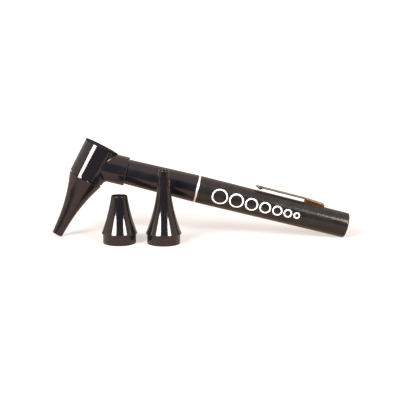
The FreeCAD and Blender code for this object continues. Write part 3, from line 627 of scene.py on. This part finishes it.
# two tones, then the smoothest and roughest gloss
finishes = {
    "gloss_black": skinMaterial(
        "glossBlack", (0.0050, 0.0048, 0.0060), (0.0070, 0.0066, 0.0078), 0.045, 0.085,
        grain=3500.0, cloud=150.0, bump=0.03, dust=0.012),
    "bezel_black": skinMaterial(
        "bezelBlack", (0.004, 0.0042, 0.0055), (0.006, 0.006, 0.0075), 0.50, 0.60,
        grain=3500.0, cloud=150.0, bump=0.03, dust=0.012, ior=1.12),
    "speculum_black": skinMaterial(
        "speculumBlack", (0.0048, 0.0045, 0.0054), (0.0070, 0.0064, 0.0072), 0.05, 0.10,
        grain=3000.0, cloud=170.0, bump=0.04, dust=0.015),
    "inner_black": skinMaterial("innerBlack", (0.008, 0.008, 0.009), (0.012, 0.012, 0.013), 0.4, 0.6),
    "semi_gloss_black": skinMaterial(
        "semiGlossBlack", (0.004, 0.0042, 0.0055), (0.006, 0.006, 0.0075), 0.12, 0.18,
        grain=5000.0, cloud=180.0, bump=0.06, dust=0.015),
    "satin_black_metal": skinMaterial(
        "satinBlack", (0.0055, 0.0050, 0.0050), (0.013, 0.0118, 0.0110), 0.14, 0.20,
        grain=3600.0, cloud=220.0, bump=0.45, distance=0.00003, dust=0.03, ior=1.38),
    "insulator_fibre": skinMaterial("insulatorFibre", (0.20, 0.10, 0.05), (0.28, 0.15, 0.08), 0.6, 0.8),
    "bush_nylon": skinMaterial("bushNylon", (0.65, 0.63, 0.58), (0.75, 0.73, 0.68), 0.35, 0.5),
    "insulator_white": skinMaterial("insulatorWhite", (0.7, 0.7, 0.68), (0.8, 0.8, 0.78), 0.35, 0.5),
    "cell_wrap": skinMaterial("cellWrap", (0.02, 0.10, 0.28), (0.03, 0.13, 0.33), 0.12, 0.25),
    "bright_ring": metalMaterial(
        "brightRing", (0.97, 0.93, 0.92), (0.90, 0.85, 0.84), 0.42, 0.54, (9000.0, 300.0, 300.0)),
    "clip_brass": metalMaterial(
        "clipBrass", (0.19, 0.125, 0.07), (0.12, 0.078, 0.045), 0.2, 0.38, (250.0, 5000.0, 900.0), 0.15),
    "fixing_brass": metalMaterial("fixingBrass", (0.55, 0.40, 0.18), (0.42, 0.30, 0.13), 0.2, 0.4),
    "holder_brass": metalMaterial("holderBrass", (0.60, 0.45, 0.20), (0.48, 0.35, 0.15), 0.2, 0.4),
    "contact_nickel": metalMaterial("contactNickel", (0.62, 0.60, 0.56), (0.48, 0.46, 0.43), 0.15, 0.35),
    "cell_steel": metalMaterial("cellSteel", (0.66, 0.66, 0.66), (0.52, 0.52, 0.52), 0.2, 0.35),
    "spring_steel": metalMaterial("springSteel", (0.55, 0.55, 0.56), (0.38, 0.38, 0.40), 0.2, 0.4),
    "spring_bronze": metalMaterial("springBronze", (0.50, 0.33, 0.18), (0.36, 0.24, 0.13), 0.2, 0.4),
    "lamp_shell": metalMaterial("lampShell", (0.60, 0.50, 0.30), (0.46, 0.38, 0.22), 0.2, 0.4),
    "solder": metalMaterial("solder", (0.50, 0.50, 0.52), (0.36, 0.36, 0.38), 0.3, 0.5),
    "lens_glass": clearMaterial("lensGlass", (0.98, 0.99, 0.99), 0.02, 1.5),
    "clear_acrylic": clearMaterial("clearAcrylic", (0.97, 0.98, 0.98), 0.05, 1.49),
    "lamp_glass": clearMaterial("lampGlass", (0.98, 0.98, 0.98), 0.02, 1.5),
}
printWhite = skinMaterial(
    "printWhite", (0.62, 0.61, 0.59), (0.72, 0.71, 0.69), 0.4, 0.6, 5000.0, 300.0, 0.1)

slotOf = {part["node"]: part["material_slot"] for part in frame["record"]["subparts"]}
for node, piece in frame["nodes"].items():
    piece.data.materials.clear()
    piece.data.materials.append(finishes[slotOf[node]])
for piece in [ringPiece, sleevePiece, armPiece, rootPiece, bezelPiece, *speculumPieces]:
    piece.data.materials.append(finishes[piece["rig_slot"]])
gaugePiece.data.materials.append(printWhite)
print("materials made")

paper = {"left": -0.9, "right": 0.9, "near": -0.6, "far": 1.4, "roughness": 0.8,
         "tone": (0.235, 0.23, 0.225, 1), "secondTone": (0.25, 0.245, 0.24, 1),
         "lift": (0.50, 0.475, 0.465, 1), "farLift": (1, 1, 1, 1), "liftFrom": 0.09, "liftTo": 0.2,
         "whiteFrom": -0.045, "darkFrom": -0.085,
         "white": (0.40, 0.30, 0.25, 1), "dark": (0.02, 0.02, 0.025, 1)}


def makeFloor():
    # white paper that glows for the camera alone; the glow is painted light that lightens shadows, weaker near the
    # object and full white further out, so the floor round the object is painted darker; in reflections it is
    # browner, and turns dark a little way in front of the object
    mesh = bpy.data.meshes.new("floor")
    left, right, near, far = (paper[label] for label in ("left", "right", "near", "far"))
    corners = [(left, near, 0), (right, near, 0), (right, far, 0), (left, far, 0)]
    mesh.from_pydata(corners, [], [(0, 1, 2, 3)])
    floor = bpy.data.objects.new("floor", mesh)
    bpy.context.scene.collection.objects.link(floor)
    material, tree, shader, coordinates = startMaterial("palePaper")
    tone = noise(tree, coordinates["Object"], 60.0, 4.0)
    feed(tree, mixColour(tree, tone, paper["tone"], paper["secondTone"]), shader.inputs["Base Color"])
    shader.inputs["Roughness"].default_value = paper["roughness"]
    length = tree.nodes.new("ShaderNodeVectorMath")
    length.operation = "LENGTH"
    feed(tree, coordinates["Object"], length.inputs[0])
    # painted light: the glow rises from about half white near the object to full white beyond 0.2 m
    away = spread(tree, length.outputs["Value"], paper["liftFrom"], paper["liftTo"], 0.0, 1.0)
    feed(tree, mixColour(tree, away, paper["lift"], paper["farLift"]), shader.inputs["Emission Color"])
    shader.inputs["Emission Strength"].default_value = 1.0
    parts = tree.nodes.new("ShaderNodeSeparateXYZ")
    feed(tree, coordinates["Object"], parts.inputs[0])
    fade = spread(tree, parts.outputs["Y"], paper["darkFrom"], paper["whiteFrom"], 0.0, 1.0)
    plain = tree.nodes.new("ShaderNodeBsdfDiffuse")
    feed(tree, mixColour(tree, fade, paper["dark"], paper["white"]), plain.inputs["Color"])
    either = tree.nodes.new("ShaderNodeMixShader")
    feed(tree, tree.nodes.new("ShaderNodeLightPath").outputs["Is Camera Ray"], either.inputs[0])
    feed(tree, plain.outputs[0], either.inputs[1])
    feed(tree, shader.outputs[0], either.inputs[2])
    feed(tree, either.outputs[0], tree.nodes["Material Output"].inputs["Surface"])
    mesh.materials.append(material)


surround = {"lit": (0.97, 0.78, 0.68, 1), "gap": (0.006, 0.006, 0.010, 1), "seen": (1.3, 1.3, 1.3, 1),
            "gapFrom": -0.62, "gapTo": -0.45, "topFrom": 0.55, "topTo": 0.75}


def makeWorld():
    # a white surround with a dark gap in front; seen directly it is plain white
    world = bpy.data.worlds.new("studio")
    bpy.context.scene.world = world
    world.use_nodes = True
    tree = world.node_tree
    parts = tree.nodes.new("ShaderNodeSeparateXYZ")
    feed(tree, tree.nodes.new("ShaderNodeTexCoord").outputs["Generated"], parts.inputs[0])
    behind = spread(tree, parts.outputs["Y"], surround["gapFrom"], surround["gapTo"], 0.0, 1.0)
    overhead = spread(tree, parts.outputs["Z"], surround["topFrom"], surround["topTo"], 0.0, 1.0)
    lit = mathNode(tree, "MAXIMUM", behind, overhead)
    path = tree.nodes.new("ShaderNodeLightPath").outputs["Is Camera Ray"]
    colour = mixColour(tree, path, mixColour(tree, lit, surround["gap"], surround["lit"]), surround["seen"])
    feed(tree, colour, tree.nodes["Background"].inputs["Color"])


# azimuth is to the right of the camera's side; angles in degrees, sizes in metres, power in watts
panels = {
    "leftPanel": {"azimuth": -37, "elevation": 29, "distance": 1.2,
                  "width": 0.64, "height": 0.66, "power": 40},
    "rightPanel": {"azimuth": 43, "elevation": 30, "distance": 1.2,
                   "width": 0.46, "height": 0.60, "power": 25},
}
panelColour = (1.0, 0.99, 0.985)
panelAim = Vector((0, 0, 0.03))


def makePanel(name, panel):
    # an oval panel that faces the object
    light = bpy.data.lights.new(name, "AREA")
    light.shape = "ELLIPSE"
    light.size, light.size_y = panel["width"], panel["height"]
    light.energy = panel["power"]
    light.color = panelColour
    lamp = bpy.data.objects.new(name, light)
    turn, rise = math.radians(panel["azimuth"]), math.radians(panel["elevation"])
    away = Vector((math.sin(turn) * math.cos(rise), -math.cos(turn) * math.cos(rise), math.sin(rise)))
    lamp.location = panelAim + away * panel["distance"]
    lamp.rotation_euler = away.to_track_quat("Z", "Y").to_euler()
    bpy.context.scene.collection.objects.link(lamp)


view = {"aim": (-0.00082, 0.00815, 0.01918), "elevation": 10.98, "roll": 0.49, "distance": 0.5488,
        "lens": 93.96, "sensor": 36}


def makeCamera():
    rise = math.radians(view["elevation"])
    camera = bpy.data.cameras.new("camera")
    camera.lens, camera.sensor_width = view["lens"], view["sensor"]
    camera.clip_start, camera.clip_end = 0.01, 50
    viewer = bpy.data.objects.new("camera", camera)
    away = Vector((0, -math.cos(rise), math.sin(rise)))
    viewer.location = Vector(view["aim"]) + away * view["distance"]
    turn = away.to_track_quat("Z", "Y") @ Quaternion((0, 0, 1), math.radians(view["roll"]))
    viewer.rotation_euler = turn.to_euler()
    bpy.context.scene.collection.objects.link(viewer)
    bpy.context.scene.camera = viewer


makeFloor()
makeWorld()
for name, panel in panels.items():
    makePanel(name, panel)
makeCamera()
bpy.context.scene.view_settings.view_transform = "Standard"
print("scene ready")
